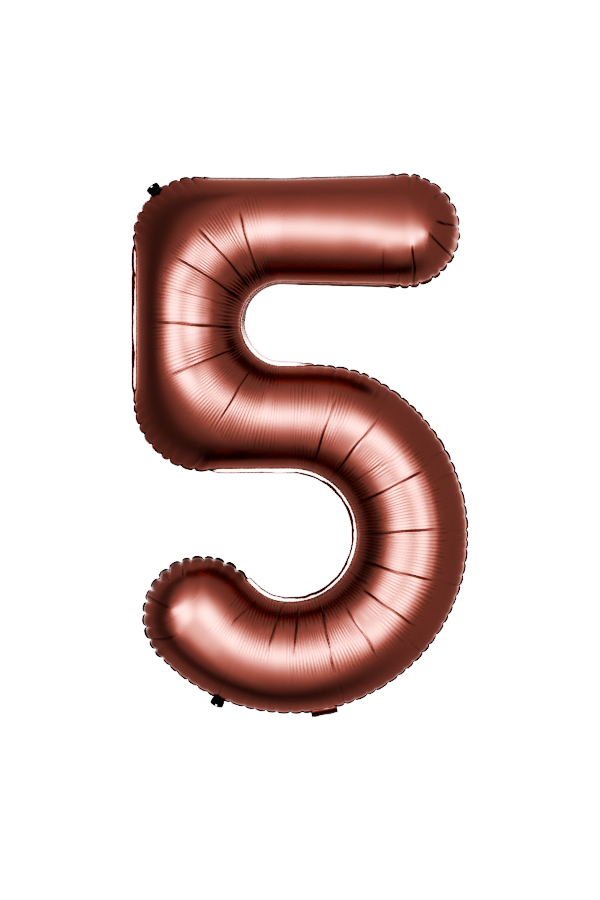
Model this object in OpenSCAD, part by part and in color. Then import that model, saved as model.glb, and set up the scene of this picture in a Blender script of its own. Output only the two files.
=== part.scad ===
// Foil balloon in the shape of the digit 5, inflated.
// Two metallised films are welded together round a flat seam. A neck at the bottom
// holds a flat self-sealing valve, and two tabs on the seam take a hanging ribbon.
// X runs to the right and Z up across the digit, and -Y is its front.
// The origin is the centre of the ribbon hole in the top tab.

/* [Digit] */
// Radius of the bowl's inner edge
bowl_inner_r = 98; // [92:1:104]
// Radius of the bowl's outer edge
bowl_outer_r = 287; // [280:1:292]
// Angle that the bowl turns past its right side before the tip's round end
bowl_sweep = 137.5; // [134:0.5:142]
// Amount by which the bowl's inner edge widens the stroke towards the tip
tip_swell = 7; // [3:1:10]
// Radius of the upper counter's round inner end
counter_r = 59; // [55:1:62]
// Offset of the upper counter's centre from the bowl's centre, along X
counter_x = -11; // [-14:1:-6]
// Height of the upper counter's centre above the bowl's centre
counter_z = 335; // [330:1:340]
// Length of the straight arm, from the counter's centre to the round end's centre
arm_len = 190; // [180:1:200]
// Width of the arm where it leaves the stem
arm_w = 178; // [172:1:184]
// Width of the arm at its round end
arm_end_w = 188; // [180:1:194]
// Width of the upright stem
stem_w = 182; // [174:1:188]
// Radius of the stem's top corner
top_corner_r = 103; // [96:1:110]
// Radius of the stem's lower corner
low_corner_r = 118; // [112:1:126]

/* [Film] */
// Thickness of each foil panel
film_t = 0.4; // [0.3:0.1:0.6]
// Thickness of the welded layer between the panels
weld_t = 0.6; // [0.6:0.1:0.8]
// Width of the flat seam outside the inflated tube
seam_w = 8; // [7:0.5:9]
// Width of the weld within the seam
weld_w = 7; // [5:0.5:7]

/* [Neck and valve] */
// Direction of the neck, seen from the bowl's centre, below the right side
neck_angle = 79; // [74:1:84]
// Width of the neck
neck_w = 40; // [36:1:44]
// Length of the neck outside the seam, up to the fold
neck_len = 10; // [8:1:12]
// Length of the tail beyond the fold
tail_len = 42; // [36:1:50]
// Angle that the tail is folded back behind the neck
tail_fold = 100; // [90:1:105]
// Width of the weld along each side of the neck and tail
neck_weld_w = 5; // [4:0.5:6]
// Width of the valve's films
valve_w = 26; // [24:1:28]
// Length of the valve inside the seam
valve_len = 118; // [100:1:130]
// Width of the weld along each side of the valve
valve_weld_w = 3; // [2:0.5:4]
// Width of the release strip that keeps the valve open at the seam
release_w = 12; // [10:1:14]
// Length of the release strip
release_len = 36; // [30:1:40]

/* [Hang tabs] */
// Direction of the top tab, seen from the stem's top corner
top_tab_angle = 130; // [126:1:134]
// Direction of the bottom tab, seen from the bowl's centre, below the right side
bottom_tab_angle = 113.5; // [111:0.5:118]
// Width of a tab
tab_w = 22; // [20:1:24]
// Length of a tab outside the seam
tab_len = 14; // [13:1:16]
// Thickness of a tab
tab_t = 0.6; // [0.5:0.1:0.8]
// Radius of the ribbon hole
tab_hole_r = 1.5; // [1:0.25:3]
// Distance from a tab's fold to its ribbon hole
tab_hole_out = 8; // [7:0.5:8.5]
// Radius of a tab's corners
tab_corner_r = 4; // [3:0.5:5]

/* [Hidden] */
foil_colour = [0.52, 0.24, 0.21];
weld_colour = [0.60, 0.32, 0.28];
valve_colour = [0.86, 0.88, 0.90];
release_colour = [0.35, 0.45, 0.62];
tab_colour = [0.05, 0.05, 0.055];

// Steps along the digit and across the tube
arm_steps = 6;
fan_steps = 32;
bowl_steps = 36;
cap_steps = 14;
ring_count = 8;
// Clearance between the two bodies at a film fold
fold_gap = 1.2;
// Half the valve's inner gap, which holds its welds and its release strip
valve_gap = 0.2;
valve_film_t = (weld_t - valve_gap) / 2;
// Angles over which the bowl's outer edge swells from the waist, and its inner edge at the tip
bowl_swell = 28;
tip_swell_span = 35;

function mix(a, b, t) = a + (b - a) * t;
function smooth(t) = let (u = min(max(t, 0), 1)) u * u * (3 - 2 * u);
function ray(angle) = [cos(angle), sin(angle)];

// --- Outline: pairs of edge points across the stroke, from the arm's end to the tip ---
counter_mid = [counter_x, counter_z];
arm_mid_z = counter_z + counter_r + arm_w / 2;
waist_top_r = counter_z - counter_r;
stem_left = counter_x - counter_r - stem_w;
stem_top = counter_z + counter_r + arm_w;
top_corner_mid = [stem_left + top_corner_r, stem_top - top_corner_r];
low_corner_mid = [stem_left + low_corner_r, bowl_inner_r + low_corner_r];

// Distance along a ray from the counter's centre to the circle of a corner
function to_circle(dir, mid, r) =
    let (m = mid - counter_mid, b = dir * m)
    b + sqrt(max(0, b * b - m * m + r * r));

// Distance along a ray from the counter's centre to the stem's outer edge
function to_stem(angle) =
    let (
        dir = ray(angle),
        upper = angle < 180,
        corner = upper ? top_corner_mid : low_corner_mid,
        level = abs((upper ? stem_top : bowl_inner_r) - counter_z) / max(abs(dir.y), 1e-9),
        side = abs(stem_left - counter_x) / max(abs(dir.x), 1e-9)
    )
    counter_x + level * dir.x >= corner.x ? level
    : (upper ? counter_z + side * dir.y <= corner.y : counter_z + side * dir.y >= corner.y) ? side
    : to_circle(dir, corner, upper ? top_corner_r : low_corner_r);

function arm_pair(t) =
    let (x = counter_x + arm_len * (1 - t), half = mix(arm_end_w, arm_w, t) / 2)
    [[x, arm_mid_z - half], [x, arm_mid_z + half]];
function fan_pair(angle) =
    [counter_mid + counter_r * ray(angle), counter_mid + to_stem(angle) * ray(angle)];
function bowl_pair(angle) =
    let (
        outer = mix(waist_top_r, bowl_outer_r, smooth((90 - angle) / bowl_swell)),
        near_tip = smooth(1 - (angle + bowl_sweep) / tip_swell_span)
    )
    [outer * ray(angle), (bowl_inner_r - tip_swell * near_tip) * ray(angle)];

pairs = concat(
    [for (i = [0:arm_steps - 1]) arm_pair(i / arm_steps)],
    [for (i = [0:fan_steps]) fan_pair(90 + 180 * i / fan_steps)],
    [for (i = [0:bowl_steps]) bowl_pair(90 - (90 + bowl_sweep) * i / bowl_steps)]
);
last_pair = len(pairs) - 1;
function middle(pair) = (pair[0] + pair[1]) / 2;

// Points of a round end, clockwise from one edge of the stroke to the other
function cap_points(from, to) =
    let (mid = (from + to) / 2, arm = from - mid)
    [for (i = [1:cap_steps - 1]) let (a = -180 * i / cap_steps)
        mid + [arm.x * cos(a) - arm.y * sin(a), arm.x * sin(a) + arm.y * cos(a)]];

// The closed outline, clockwise seen from the front, and each point's pair number
tip_cap = cap_points(pairs[last_pair][0], pairs[last_pair][1]);
arm_cap = cap_points(pairs[0][1], pairs[0][0]);
outline = concat(
    [for (pair = pairs) pair[0]], tip_cap,
    [for (i = [last_pair:-1:0]) pairs[i][1]], arm_cap
);
pair_of = concat(
    [for (i = [0:last_pair]) i], [for (p = tip_cap) last_pair],
    [for (i = [last_pair:-1:0]) i], [for (p = arm_cap) 0]
);
edge_count = len(outline);

// --- Inflated section: a quarter ellipse from the seam to the crest ---
tube_r = arm_w / 2 - seam_w;
function half_width(i) = norm(outline[i] - middle(pairs[pair_of[i]])) - seam_w;
function half_depth(i) = let (pair = pairs[pair_of[i]])
    sqrt(tube_r * (norm(pair[0] - pair[1]) / 2 - seam_w));
// Point at a distance in from the edge, and at a height off the seam
function at_depth(i, inward, height) =
    let (
        edge = outline[i],
        mid = middle(pairs[pair_of[i]]),
        p = edge + (mid - edge) / norm(mid - edge) * inward
    )
    [p.x, -weld_t / 2 - height, p.y];
function outer_point(i, k) =
    k == 0 ? at_depth(i, 0, film_t)
    : k == 1 ? at_depth(i, seam_w, film_t)
    : let (b = 90 * (k - 1) / (ring_count - 1))
      at_depth(i, seam_w + half_width(i) * (1 - cos(b)), half_depth(i) * sin(b));
function inner_point(i, k) =
    k == 0 ? at_depth(i, 0, 0)
    : k == 1 ? at_depth(i, seam_w + film_t, 0)
    : let (b = 90 * (k - 1) / (ring_count - 1), width = half_width(i) - film_t)
      at_depth(i, seam_w + film_t + width * (1 - cos(b)), (half_depth(i) - film_t) * sin(b));
function crest(n, inset) =
    let (pair = pairs[n], mid = middle(pair), depth = sqrt(tube_r * (norm(pair[0] - pair[1]) / 2 - seam_w)))
    [mid.x, -weld_t / 2 - depth + inset, mid.y];

// --- Front panel as one closed shell ---
inner_base = edge_count * ring_count + len(pairs);
function ring_index(i, k) = k < ring_count
    ? k * edge_count + i % edge_count
    : edge_count * ring_count + pair_of[i % edge_count];
// Two triangles of a quad, or one where two of its corners are the same point
function quad(a, b, c, d) =
    concat(a == b || b == c ? [] : [[a, b, c]], c == d || d == a ? [] : [[a, c, d]]);
panel_points = concat(
    [for (k = [0:ring_count - 1], i = [0:edge_count - 1]) outer_point(i, k)],
    [for (n = [0:last_pair]) crest(n, 0)],
    [for (k = [0:ring_count - 1], i = [0:edge_count - 1]) inner_point(i, k)],
    [for (n = [0:last_pair]) crest(n, film_t)]
);
panel_faces = [for (i = [0:edge_count - 1]) each concat(
    [for (k = [0:ring_count - 1]) each quad(
        ring_index(i, k), ring_index(i + 1, k), ring_index(i + 1, k + 1), ring_index(i, k + 1))],
    [for (k = [0:ring_count - 1]) each quad(
        inner_base + ring_index(i, k + 1), inner_base + ring_index(i + 1, k + 1),
        inner_base + ring_index(i + 1, k), inner_base + ring_index(i, k))],
    quad(
        ring_index(i + 1, 0), ring_index(i, 0),
        inner_base + ring_index(i, 0), inner_base + ring_index(i + 1, 0))
)];

// --- Places round the edge ---
top_tab_mid = top_corner_mid + top_corner_r * ray(top_tab_angle);
bottom_tab_mid = bowl_outer_r * ray(-bottom_tab_angle);
neck_mid = bowl_outer_r * ray(-neck_angle);
origin_hole = top_tab_mid + (fold_gap + tab_hole_out) * ray(top_tab_angle);

// Moves the digit so that the ribbon hole of the top tab is the origin
module placed() {
    translate([-origin_hole.x, 0, -origin_hole.y]) children();
}

// A flat film in the seam's plane, from one depth to another along Y
module film(from, to) {
    translate([0, to, 0]) rotate([90, 0, 0]) linear_extrude(to - from) children();
}

// Turns a flat shape so that its Y axis points out of the seam at a place on the edge
module flat_at(place, angle) {
    translate(place) rotate(angle - 90) children();
}

// Turns a solid so that its Z axis points out of the seam at a place on the edge
module solid_at(place, angle) {
    translate([place.x, 0, place.y]) rotate([0, 90 - angle, 0]) children();
}

module strip(width, from, to) {
    translate([-width / 2, from]) square([width, to - from]);
}

module side_strips(width, strip_w, from, to) {
    for (side = [-1, 1])
        translate([side * (width - strip_w) / 2, 0]) strip(strip_w, from, to);
}

// --- Envelope ---
module front_foil() {
    color(foil_colour) placed() polyhedron(points = panel_points, faces = panel_faces);
}

module back_foil() {
    color(foil_colour) placed() mirror([0, 1, 0]) polyhedron(points = panel_points, faces = panel_faces);
}

module seam_weld() {
    inner_edge = [for (i = [0:edge_count - 1]) let (p = at_depth(i, weld_w, 0)) [p.x, p.z]];
    color(weld_colour) placed() film(-weld_t / 2, weld_t / 2) {
        difference() {
            polygon(
                points = concat(outline, inner_edge),
                paths = [[for (i = [0:edge_count - 1]) i], [for (i = [0:edge_count - 1]) edge_count + i]]
            );
            flat_at(neck_mid, -neck_angle) strip(valve_w, -3 * seam_w, seam_w);
        }
        difference() {
            flat_at(neck_mid, -neck_angle) side_strips(neck_w, neck_weld_w, -seam_w, neck_len);
            polygon(outline);
        }
    }
}

// --- Neck, up to the fold ---
module neck_ply(from, to) {
    color(foil_colour) placed() film(from, to) difference() {
        flat_at(neck_mid, -neck_angle) strip(neck_w, -seam_w, neck_len);
        polygon(outline);
    }
}

module neck_front_ply() {
    neck_ply(-weld_t / 2 - film_t, -weld_t / 2);
}

module neck_back_ply() {
    neck_ply(weld_t / 2, weld_t / 2 + film_t);
}

// --- Valve: two films welded along their sides, from the neck into the bowl ---
module valve_film(from, to) {
    color(valve_colour) placed() film(from, to)
        flat_at(neck_mid, -neck_angle) strip(valve_w, -valve_len, neck_len);
}

module valve_front_film() {
    valve_film(-weld_t / 2, -valve_gap / 2);
}

module valve_back_film() {
    valve_film(valve_gap / 2, weld_t / 2);
}

module valve_side_welds() {
    color(weld_colour) placed() film(-valve_gap / 2, valve_gap / 2)
        flat_at(neck_mid, -neck_angle) side_strips(valve_w, valve_weld_w, -valve_len, neck_len);
}

module valve_release_strip() {
    color(release_colour) placed() film(-valve_gap / 2, valve_gap / 2)
        flat_at(neck_mid, -neck_angle) strip(release_w, neck_len - release_len, neck_len);
}

// --- Tail of the neck, beyond the fold ---
module tail(from, to) {
    placed() solid_at(neck_mid, -neck_angle)
        translate([0, 0, neck_len + fold_gap]) rotate([-tail_fold, 0, 0]) film(from, to) children();
}

module tail_outline() {
    intersection() {
        strip(neck_w, 0, tail_len);
        translate([0, tail_len - neck_w / 2]) union() {
            circle(r = neck_w / 2, $fn = 64);
            strip(neck_w, -tail_len, 0);
        }
    }
}

module tail_front_ply() {
    color(foil_colour) tail(-weld_t / 2 - film_t, -weld_t / 2) tail_outline();
}

module tail_back_ply() {
    color(foil_colour) tail(weld_t / 2, weld_t / 2 + film_t) tail_outline();
}

module tail_side_welds() {
    color(weld_colour) tail(-weld_t / 2, weld_t / 2) intersection() {
        side_strips(neck_w, neck_weld_w, 0, tail_len);
        tail_outline();
    }
}

module tail_valve_front_film() {
    color(valve_colour) tail(-weld_t / 2, -valve_gap / 2) strip(valve_w, 0, tail_len - neck_w / 4);
}

module tail_valve_back_film() {
    color(valve_colour) tail(valve_gap / 2, weld_t / 2) strip(valve_w, 0, tail_len - neck_w / 4);
}

// --- Hang tabs: a base welded to the front of the seam, and an ear beyond the fold ---
module tab_base(place, angle) {
    front = -weld_t / 2 - film_t;
    color(tab_colour) placed() film(front - tab_t, front)
        flat_at(place, angle) strip(tab_w, 0.5 - seam_w, 0);
}

module tab_ear(place, angle) {
    color(tab_colour) placed() film(-tab_t / 2, tab_t / 2) flat_at(place, angle)
        translate([0, fold_gap]) difference() {
            union() {
                strip(tab_w, 0, tab_len - tab_corner_r);
                strip(tab_w - 2 * tab_corner_r, 0, tab_len);
                for (side = [-1, 1])
                    translate([side * (tab_w / 2 - tab_corner_r), tab_len - tab_corner_r])
                        circle(r = tab_corner_r, $fn = 48);
            }
            translate([0, tab_hole_out]) circle(r = tab_hole_r, $fn = 48);
        }
}

module top_tab_base() {
    tab_base(top_tab_mid, top_tab_angle);
}

module top_tab_ear() {
    tab_ear(top_tab_mid, top_tab_angle);
}

module bottom_tab_base() {
    tab_base(bottom_tab_mid, -bottom_tab_angle);
}

module bottom_tab_ear() {
    tab_ear(bottom_tab_mid, -bottom_tab_angle);
}

front_foil();
back_foil();
seam_weld();
neck_front_ply();
neck_back_ply();
valve_front_film();
valve_back_film();
valve_side_welds();
valve_release_strip();
tail_front_ply();
tail_back_ply();
tail_side_welds();
tail_valve_front_film();
tail_valve_back_film();
top_tab_base();
top_tab_ear();
bottom_tab_base();
bottom_tab_ear();
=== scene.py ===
"""Foil number balloon: two film panels relaxed on a seam, with scallops, creases and fine wrinkles."""
import math

import bpy
import numpy as np
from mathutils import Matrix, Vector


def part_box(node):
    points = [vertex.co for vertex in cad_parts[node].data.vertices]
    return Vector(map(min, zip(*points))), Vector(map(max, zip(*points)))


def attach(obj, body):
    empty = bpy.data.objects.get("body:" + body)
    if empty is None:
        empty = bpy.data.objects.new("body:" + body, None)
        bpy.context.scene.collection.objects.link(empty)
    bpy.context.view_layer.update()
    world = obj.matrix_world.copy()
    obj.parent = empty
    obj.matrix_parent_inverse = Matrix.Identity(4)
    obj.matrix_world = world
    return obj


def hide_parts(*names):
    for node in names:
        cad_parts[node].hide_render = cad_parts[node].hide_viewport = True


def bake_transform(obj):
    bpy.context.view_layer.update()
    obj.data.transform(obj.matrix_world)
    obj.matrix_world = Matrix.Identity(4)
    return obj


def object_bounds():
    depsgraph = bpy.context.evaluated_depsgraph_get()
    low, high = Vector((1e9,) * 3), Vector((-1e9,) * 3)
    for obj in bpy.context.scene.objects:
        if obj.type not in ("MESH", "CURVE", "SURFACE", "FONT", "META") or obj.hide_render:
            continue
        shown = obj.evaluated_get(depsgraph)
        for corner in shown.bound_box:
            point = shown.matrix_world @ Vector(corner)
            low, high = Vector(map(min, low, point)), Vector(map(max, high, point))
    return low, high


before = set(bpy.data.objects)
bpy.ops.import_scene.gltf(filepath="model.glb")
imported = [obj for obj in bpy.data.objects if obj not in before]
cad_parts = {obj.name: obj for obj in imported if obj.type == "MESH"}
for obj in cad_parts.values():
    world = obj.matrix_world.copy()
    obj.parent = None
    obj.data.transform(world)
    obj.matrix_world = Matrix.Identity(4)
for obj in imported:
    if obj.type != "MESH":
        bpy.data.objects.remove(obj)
cad_box = [list(corner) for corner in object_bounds()]
MM = 0.001

# --- Driving dimensions, as in the CAD; metres and degrees. The design origin is the bowl's centre. ---
BOWL_INNER_R = 98 * MM
BOWL_OUTER_R = 287 * MM
BOWL_SWEEP = 137.5
BOWL_SWELL = 28
TIP_SWELL = 7 * MM
TIP_SWELL_SPAN = 35
COUNTER = np.array([-11, 335]) * MM
COUNTER_R = 59 * MM
ARM_LEN = 190 * MM
ARM_W = 178 * MM
ARM_END_W = 188 * MM
STEM_W = 182 * MM
TOP_CORNER_R = 103 * MM
LOW_CORNER_R = 118 * MM
SEAM_W = 8 * MM
NECK_ANGLE = 79
NECK_W = 40 * MM
VALVE_W = 26 * MM
RELEASE_W = 12 * MM
RELEASE_LEN = 36 * MM
TOP_TAB_ANGLE = 130
BOTTOM_TAB_ANGLE = 113.5
TAB_W = 22 * MM
TAB_LEN = 14 * MM
TAB_HOLE_R = 1.5 * MM
TAB_HOLE_OUT = 8 * MM
FOLD_GAP = 1.2 * MM

TUBE_R = ARM_W / 2 - SEAM_W
ARM_MID_Z = COUNTER[1] + COUNTER_R + ARM_W / 2
WAIST_TOP_R = COUNTER[1] - COUNTER_R
STEM_LEFT = COUNTER[0] - COUNTER_R - STEM_W
STEM_TOP = COUNTER[1] + COUNTER_R + ARM_W
TOP_CORNER = np.array([STEM_LEFT + TOP_CORNER_R, STEM_TOP - TOP_CORNER_R])
LOW_CORNER = np.array([STEM_LEFT + LOW_CORNER_R, BOWL_INNER_R + LOW_CORNER_R])
panel_lo, panel_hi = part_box("front_foil")
OFFSET = np.array([panel_lo[0] - STEM_LEFT, 0, panel_hi[2] - ARM_MID_Z - ARM_END_W / 2])

# Stations on the arm's end, arm, fan, waist, bowl and tip, and columns across a panel, from coarse to fine
LEVELS = [
    ((24, 30, 136, 3, 182, 24), 17),
    ((48, 61, 273, 4, 364, 49), 32),
    ((96, 122, 546, 7, 728, 98), 60),
]
FLANGE = 3


# --- Small numeric helpers ---
def smooth(t):
    t = np.clip(t, 0, 1)
    return t * t * (3 - 2 * t)


def mix(a, b, t):
    return a + (b - a) * t


def window(x, lo, hi, edge):
    return smooth((x - lo) / edge) * smooth((hi - x) / edge)


def ray(deg):
    a = np.radians(deg)
    return np.stack([np.cos(a), np.sin(a)], -1)


def unit(v):
    return v / (np.linalg.norm(v, axis=-1, keepdims=True) + 1e-12)


def run_along(points):
    """Length along a row of points, at each of them."""
    return np.concatenate([[0], np.cumsum(np.linalg.norm(np.diff(points, axis=0), axis=1))])


def at_depth(plan, y):
    """Points of a plan in the numeral's plane, y behind it."""
    return np.stack([plan[..., 0], y, plan[..., 1]], -1)


def resample(grid, shape):
    """Bilinear copy of grid [n, m, ...] at another number of rows and columns."""
    for axis in (0, 1):
        n = grid.shape[axis]
        place = np.linspace(0, n - 1, shape[axis])
        low = np.minimum(place.astype(int), max(n - 2, 0))
        high = np.minimum(low + 1, n - 1)
        part = (place - low).reshape([-1 if a == axis else 1 for a in range(grid.ndim)])
        grid = np.take(grid, low, axis) * (1 - part) + np.take(grid, high, axis) * part
    return grid


def noise_at(rng, x, cell):
    """Smooth noise, about -1.5 to 1.5, at positions x with one random value per cell."""
    knots = rng.standard_normal(int((x.max() - x.min()) / cell) + 4)
    place = (x - x.min()) / cell
    low = place.astype(int)
    part = smooth(place - low)
    return knots[low] * (1 - part) + knots[low + 1] * part


def noise_grid(rng, x, cell, rows, shape):
    """Noise along the stroke position x, with a few independent rows blended across the panel."""
    lanes = np.stack([noise_at(rng, x, cell) for _ in range(rows)], 1)
    return resample(lanes, shape)


def mean_filter(a, n, axis):
    if n < 1:
        return a
    pad = [(0, 0)] * a.ndim
    pad[axis] = (n + 1, n)
    total = np.cumsum(np.pad(a, pad, mode="edge"), axis=axis)
    size = a.shape[axis]
    high = np.take(total, np.arange(2 * n + 1, 2 * n + 1 + size), axis=axis)
    return (high - np.take(total, np.arange(size), axis=axis)) / (2 * n + 1)


def low_pass(a, rows, columns):
    for _ in range(2):
        a = mean_filter(mean_filter(a, rows, 0), columns, 1)
    return a


# --- Outline: left and right rail of the stroke, from the arm's end to the tip ---
def to_stem(deg):
    """Distance from the counter's centre to the stem's outer edge."""
    d = ray(deg)
    upper = deg < 180
    corner = np.where(upper[:, None], TOP_CORNER, LOW_CORNER)
    radius = np.where(upper, TOP_CORNER_R, LOW_CORNER_R)
    level = np.abs(np.where(upper, STEM_TOP, BOWL_INNER_R) - COUNTER[1]) / np.maximum(np.abs(d[:, 1]), 1e-9)
    side = abs(STEM_LEFT - COUNTER[0]) / np.maximum(np.abs(d[:, 0]), 1e-9)
    m = corner - COUNTER
    b = (d * m).sum(1)
    corner_hit = b + np.sqrt(np.maximum(0, b * b - (m * m).sum(1) + radius * radius))
    z = COUNTER[1] + side * d[:, 1]
    on_side = np.where(upper, z <= corner[:, 1], z >= corner[:, 1])
    on_level = COUNTER[0] + level * d[:, 0] >= corner[:, 0]
    return np.where(on_level, level, np.where(on_side, side, corner_hit))


def rails(counts):
    """Left and right rail, one point for each station."""
    _, arm, fan, waist, bowl, _ = counts
    t = np.arange(arm) / arm
    x = COUNTER[0] + ARM_LEN * (1 - t)
    half = mix(ARM_END_W, ARM_W, t) / 2
    pairs = [[np.stack([x, ARM_MID_Z + side * half], 1) for side in (-1, 1)]]
    # the fan's stations are evenly spaced on its outer rail
    angle = np.linspace(90, 270, 2001)
    run = run_along(COUNTER + to_stem(angle)[:, None] * ray(angle))
    angle = np.interp(np.linspace(0, run[-1], fan + 1), run, angle)
    pairs.append([COUNTER + reach * ray(angle) for reach in (COUNTER_R, to_stem(angle)[:, None])])
    t = (np.arange(1, waist + 1) / waist)[:, None]
    bowl_start = zip(pairs[-1], (WAIST_TOP_R, BOWL_INNER_R))
    pairs.append([mix(rail[-1], np.array([0, z]), t) for rail, z in bowl_start])
    angle = 90 - (90 + BOWL_SWEEP) * np.arange(1, bowl + 1) / bowl
    outer_r = mix(WAIST_TOP_R, BOWL_OUTER_R, smooth((90 - angle) / BOWL_SWELL))
    inner_r = BOWL_INNER_R - TIP_SWELL * smooth(1 - (angle + BOWL_SWEEP) / TIP_SWELL_SPAN)
    pairs.append([radius[:, None] * ray(angle) for radius in (outer_r, inner_r)])
    return [np.concatenate(rail) for rail in zip(*pairs)]


END_FALL = (2.4, 0.5)  # how the crest falls towards a round end: the powers in (1 - t ** a) ** b
CROWD = 0.35  # how much closer together the columns are near the seams
FAN_LEAN = 0.04  # how far the crest leans to the outer side, as a share of the half width
CORNER_LEAN = 0.13  # how far it leans back where the rays to the corners are longer
CORNER_HALF = (84 * MM, 112 * MM)  # half width where the corner's lean starts, and where it is full
OUTER_FALL = ((2.0, 0.5), (1.6, 0.8))  # powers of the fall to the outer seam, on plain rows and at a corner
BOWL_LEAN = 0.12  # how far the crest leans to the outer side round the bowl
ARM_LEAN = (0.04, 0.19)  # lean to the arm's lower side, at its middle and at its end
ARM_LEAN_X = (70 * MM, 195 * MM)  # where along the arm the first is full, and where the second is


def film_grid(counts, columns):
    """Smooth inflated front panel with its flange columns on both sides, [station, column, xyz]."""
    left, right = rails(counts)
    t = np.linspace(0, 1, columns)
    across = -np.cos(np.pi * (t - CROWD * np.sin(2 * np.pi * t) / (2 * np.pi)))
    out = np.arange(1, FLANGE + 1)[:, None] / FLANGE * SEAM_W

    def section(l, r):
        width = np.linalg.norm(r - l) / 2
        return (l + r) / 2, (r - l) / 2 / width, width - SEAM_W

    def row(mid, side, a, lean=0, corner=0, ahead=None, turn=None):
        depth = math.sqrt(TUBE_R * a)
        plan, normals = mid + side * (across[:, None] * a), (-side, side)
        from_crest = np.abs(across - lean) / np.where(across > lean, 1 - lean, 1 + lean)
        p, q = (mix(a, b, corner * (across > lean)) for a, b in zip(*OUTER_FALL))
        y = depth * np.maximum(0, 1 - from_crest**p) ** q
        if ahead is not None:
            normals = [ahead * math.cos(turn) + side * (s * math.sin(turn)) for s in (-1, 1)]
            if turn < 1e-6:
                plan, y = np.repeat((mid + ahead * a)[None], columns, 0), np.zeros(columns)
            else:
                arc = a * math.tan(turn)
                phi = across * (math.pi / 2 - turn)
                p = a / math.cos(turn) - arc * np.cos(phi)
                q = arc * np.sin(phi)
                plan = mid + ahead * p[:, None] + side * q[:, None]
                reach = np.sqrt(np.maximum(1e-9, 1 - (q / a) ** 2))
                k = np.clip(p / (a * reach), 0, 1)
                y = depth * reach * np.maximum(0, 1 - k ** END_FALL[0]) ** END_FALL[1]
                y[0] = y[-1] = 0
        seam = [mid + n * a for n in normals]
        plan = np.concatenate([seam[0] + normals[0] * out[::-1], plan, seam[1] + normals[1] * out])
        y = np.concatenate([np.zeros(FLANGE), y, np.zeros(FLANGE)])
        return at_depth(plan, -y)

    end, tip = counts[0], counts[-1]
    first, last = section(left[0], right[0]), section(left[-1], right[-1])
    rows = [row(*first, 0, 0, ray(0), math.pi / 2 * k / end) for k in range(end)]
    fan_w, bowl_w, _, _ = spans(counts, end + len(left) + tip)
    for k, (l, r) in enumerate(zip(left, right)):
        width = np.linalg.norm(r - l)
        sideways = ((r - l)[0] / width) ** 2
        lean = sideways * (FAN_LEAN * fan_w[end + k] - BOWL_LEAN * bowl_w[end + k])
        corner = fan_w[end + k] * smooth((width / 2 - SEAM_W - CORNER_HALF[0]) / np.ptp(CORNER_HALF))
        rows.append(row(*section(l, r), lean - CORNER_LEAN * corner, corner))
    ahead = ray(-BOWL_SWEEP - 90)
    rows += [row(*last, 0, 0, ahead, math.pi / 2 * k / tip) for k in range(tip - 1, -1, -1)]
    rows = np.array(rows)
    on_arm = smooth(rows[..., 0] / ARM_LEAN_X[0]) * (rows[..., 2] > COUNTER[1])
    lean = on_arm * mix(*ARM_LEAN, smooth((rows[..., 0] - ARM_LEAN_X[0]) / np.ptp(ARM_LEAN_X)))
    rows[..., 1] *= 1 - lean * (rows[..., 2] - ARM_MID_Z) / (ARM_W / 2)
    return rows


# --- Relaxation of the film: it hardly stretches, so spare length along the stroke becomes wrinkles ---
# Spare share of the length at each level: inside of the bends, outside of them, and the stroke's ends
SPARE_INNER = (0.012, 0.018, 0.024)
SPARE_OUTER = (0.006, 0.012, 0.018)
SPARE_ENDS = (0.02, 0.035, 0.045)
SEAM_REACH = 12 * MM
SHOULDER = (0.10, 0.45, 0.3)  # rise of the inner spare across the panel, start of its fall, and its fall
STEM_SEAM = 20 * MM  # a seam point this near the stem's left edge belongs to the stem's straight run
STEM_STRAIGHT = 30 * MM
STEM_SPARE_CUT = 0.75
# At each level: rounds, push of the gas, roughness in mm at the start, and its lanes across
ROUNDS = (260, 180, 110)
PRESSURE = (3e-5, 1.5e-5, 0.8e-5)
ROUGHNESS = (0.10, 0.10, 0.12)
LANES = (6, 8, 10)
DAMPING = 0.92
TAUT, SLACK = 1.0, 0.6  # share of an edge's error mended in a pass, when too long and when too short
DIAGONAL = (0.5, 0.25)  # the same for a diagonal
STIFF_ALONG, STIFF_ACROSS = 0.02, 0.01
SMOOTH_REACH = 20 * MM  # broad drift from the smooth shape is held back over this length
HOLD_EVERY, HOLD_SHARE = 4, 0.15
LEAST_DEPTH = 0.2 * MM


def spans(counts, stations):
    """Weights 0 to 1 of the fan, the bowl, the arm's end and the tip at each station."""
    end, arm, fan, waist, bowl, tip = counts
    i = np.arange(stations)
    at_fan, at_bowl = end + arm, end + arm + fan + waist
    fan_w = smooth((i - at_fan + arm * 0.15) / (arm * 0.25)) * smooth((at_bowl - i) / (fan * 0.08))
    bowl_w = smooth((i - at_bowl + bowl * 0.02) / (bowl * 0.06))
    bowl_w = bowl_w * smooth((at_bowl + bowl - i) / (bowl * 0.08))
    end_w = 1 - smooth((i - end * 0.85) / (end * 0.3))
    tip_w = 1 - smooth((stations - 1 - i - tip * 0.8) / (tip * 0.4))
    return fan_w, bowl_w, end_w, tip_w


def arc_from_left(panel):
    run = np.cumsum(np.linalg.norm(np.diff(panel, axis=1), axis=2), axis=1)
    return np.concatenate([np.zeros((len(panel), 1)), run], axis=1)


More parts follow.
